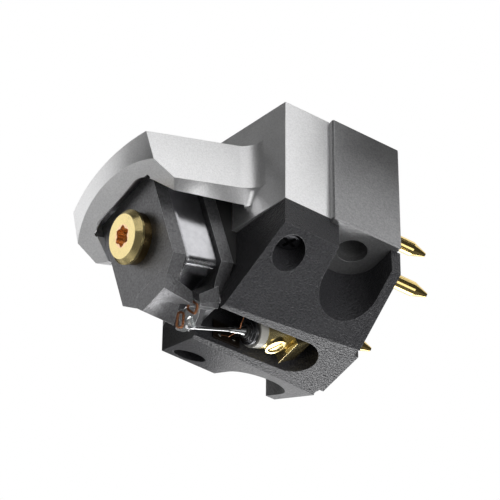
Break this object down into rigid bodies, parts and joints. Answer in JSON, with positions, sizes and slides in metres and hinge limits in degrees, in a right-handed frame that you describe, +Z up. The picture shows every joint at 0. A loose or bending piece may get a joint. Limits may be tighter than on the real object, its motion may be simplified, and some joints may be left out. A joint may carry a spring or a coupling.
{
  "type": "turntable stylus cartridge",
  "caption": "Moving-coil phono cartridge with a hooded magnetic circuit, a damped cantilever with its diamond tip, a machined base and rear terminal pins.",
  "frame": {"origin": "midway between the axes of the two mounting holes, on the top face that meets the headshell", "axes": "+Z up into the headshell, -Y to the front where the stylus is, +X to the cartridge's left"},
  "size_m": [0.017, 0.0252, 0.0173],
  "materials": {
    "titanium": "bead-blasted titanium",
    "housing_aluminium": "bead-blasted, clear anodised",
    "body_plastic": "hard moulded body, fine grain, charcoal",
    "screw_steel": "blackened steel",
    "yoke_iron": "ground iron, matt plating",
    "magnet_plating": "bright nickel plating",
    "pad_rubber": "black sheet",
    "clamp_gold": "turned and gold plated",
    "collar_bronze": "turned, darker bronze tone",
    "coil_copper": "enamelled copper winding",
    "former_film": "clear film with glue",
    "cantilever_metal": "polished",
    "stylus_diamond": "polished diamond",
    "joint_metal": "turned",
    "wire_steel": "spring wire",
    "damper_rubber": "soft damping rubber",
    "cup_metal": "turned bright steps",
    "ring_plastic": "pale translucent ring",
    "holder_gold": "turned and gold plated",
    "carrier_gold": "machined and gold plated",
    "board_plastic": "black terminal board",
    "pin_gold": "polished, gold plated",
    "strip_film": "insulating film with solder pads",
    "lead_copper": "fine enamelled copper",
    "pin_lead_sleeve": "fine sleeved lead"
  },
  "bodies": {
    "cartridge_body": {"mount_base": "titanium", "front_housing": "housing_aluminium", "lower_body": "body_plastic", "body_screw_left": "screw_steel", "body_screw_right": "screw_steel", "front_yoke": "yoke_iron", "magnet": "magnet_plating", "rear_yoke": "yoke_iron", "circuit_pad": "pad_rubber", "clamp_screw": "clamp_gold", "clamp_collar": "collar_bronze", "damper_cup": "cup_metal", "retaining_ring": "ring_plastic", "suspension_holder": "holder_gold", "holder_set_screw": "holder_gold", "carrier_block": "carrier_gold", "terminal_board": "board_plastic", "terminal_pin_1": "pin_gold", "terminal_pin_2": "pin_gold", "terminal_pin_3": "pin_gold", "terminal_pin_4": "pin_gold", "lead_strip_left": "strip_film", "lead_strip_right": "strip_film", "coil_lead_left": "lead_copper", "coil_lead_right": "lead_copper", "pin_lead_left": "pin_lead_sleeve", "pin_lead_right": "pin_lead_sleeve"},
    "suspension": {"suspension_wire": "wire_steel", "damper": "damper_rubber"},
    "cantilever_assembly": {"cantilever": "cantilever_metal", "stylus_tip": "stylus_diamond", "joint_pipe": "joint_metal", "coil_left": "coil_copper", "coil_right": "coil_copper", "coil_former": "former_film"}
  },
  "joints": [
    {"name": "lateral_swing", "type": "hinge", "parent": "cartridge_body", "child": "suspension", "pos_m": [0, -0.00459, -0.01488], "axis": [0, -0.3907, 0.9205], "range_deg": [-1.5, 1.5], "stiffness_Nm_per_rad": 0.0008, "deforming": ["damper", "suspension_wire", "coil_lead_left", "coil_lead_right"]},
    {"name": "vertical_swing", "type": "hinge", "parent": "suspension", "child": "cantilever_assembly", "pos_m": [0, -0.00459, -0.01488], "axis": [-1, 0, 0], "range_deg": [-1, 3], "stiffness_Nm_per_rad": 0.0008, "deforming": ["damper", "suspension_wire", "coil_lead_left", "coil_lead_right"]}
  ]
}
